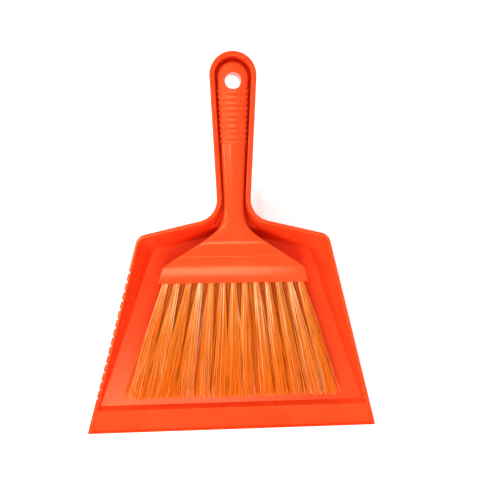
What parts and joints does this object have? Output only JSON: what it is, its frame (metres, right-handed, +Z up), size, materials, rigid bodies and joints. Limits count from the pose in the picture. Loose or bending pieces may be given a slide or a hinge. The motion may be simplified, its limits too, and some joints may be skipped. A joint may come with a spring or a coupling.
{
  "type": "dustpan and brush set",
  "caption": "Hand dust pan with drafted walls, ramped lip and channelled handle, holding a nested whisk brush with fanned tufts and a ribbed grip.",
  "frame": {"origin": "on the ground, at the middle of the overall length and width", "axes": "+X across the pan to its right, +Y from the lip to the end of the handle, +Z up"},
  "size_m": [0.254, 0.32, 0.0482],
  "materials": {
    "pan_plastic": "glossy injection-moulded polypropylene",
    "brush_plastic": "glossy injection-moulded polypropylene",
    "bristle": "translucent extruded filament, bundled",
    "anchor_metal": "flattened steel wire"
  },
  "bodies": {
    "pan": {"dustpan": "pan_plastic"},
    "brush": {"brush_body": "brush_plastic", "tuft_anchors": "anchor_metal", "tuft_upper_01": "bristle", "tuft_upper_02": "bristle", "tuft_upper_03": "bristle", "tuft_upper_04": "bristle", "tuft_upper_05": "bristle", "tuft_upper_06": "bristle", "tuft_upper_07": "bristle", "tuft_upper_08": "bristle", "tuft_upper_09": "bristle", "tuft_upper_10": "bristle", "tuft_upper_11": "bristle", "tuft_upper_12": "bristle", "tuft_upper_13": "bristle", "tuft_middle_01": "bristle", "tuft_middle_02": "bristle", "tuft_middle_03": "bristle", "tuft_middle_04": "bristle", "tuft_middle_05": "bristle", "tuft_middle_06": "bristle", "tuft_middle_07": "bristle", "tuft_middle_08": "bristle", "tuft_middle_09": "bristle", "tuft_middle_10": "bristle", "tuft_middle_11": "bristle", "tuft_middle_12": "bristle", "tuft_lower_01": "bristle", "tuft_lower_02": "bristle", "tuft_lower_03": "bristle", "tuft_lower_04": "bristle", "tuft_lower_05": "bristle", "tuft_lower_06": "bristle", "tuft_lower_07": "bristle", "tuft_lower_08": "bristle", "tuft_lower_09": "bristle", "tuft_lower_10": "bristle", "tuft_lower_11": "bristle", "tuft_lower_12": "bristle", "tuft_lower_13": "bristle"}
  },
  "joints": [
    {"name": "brush_lift", "type": "slide", "parent": "pan", "child": "brush", "axis": [0, 0, 1], "range_m": [0, 0.12]}
  ]
}
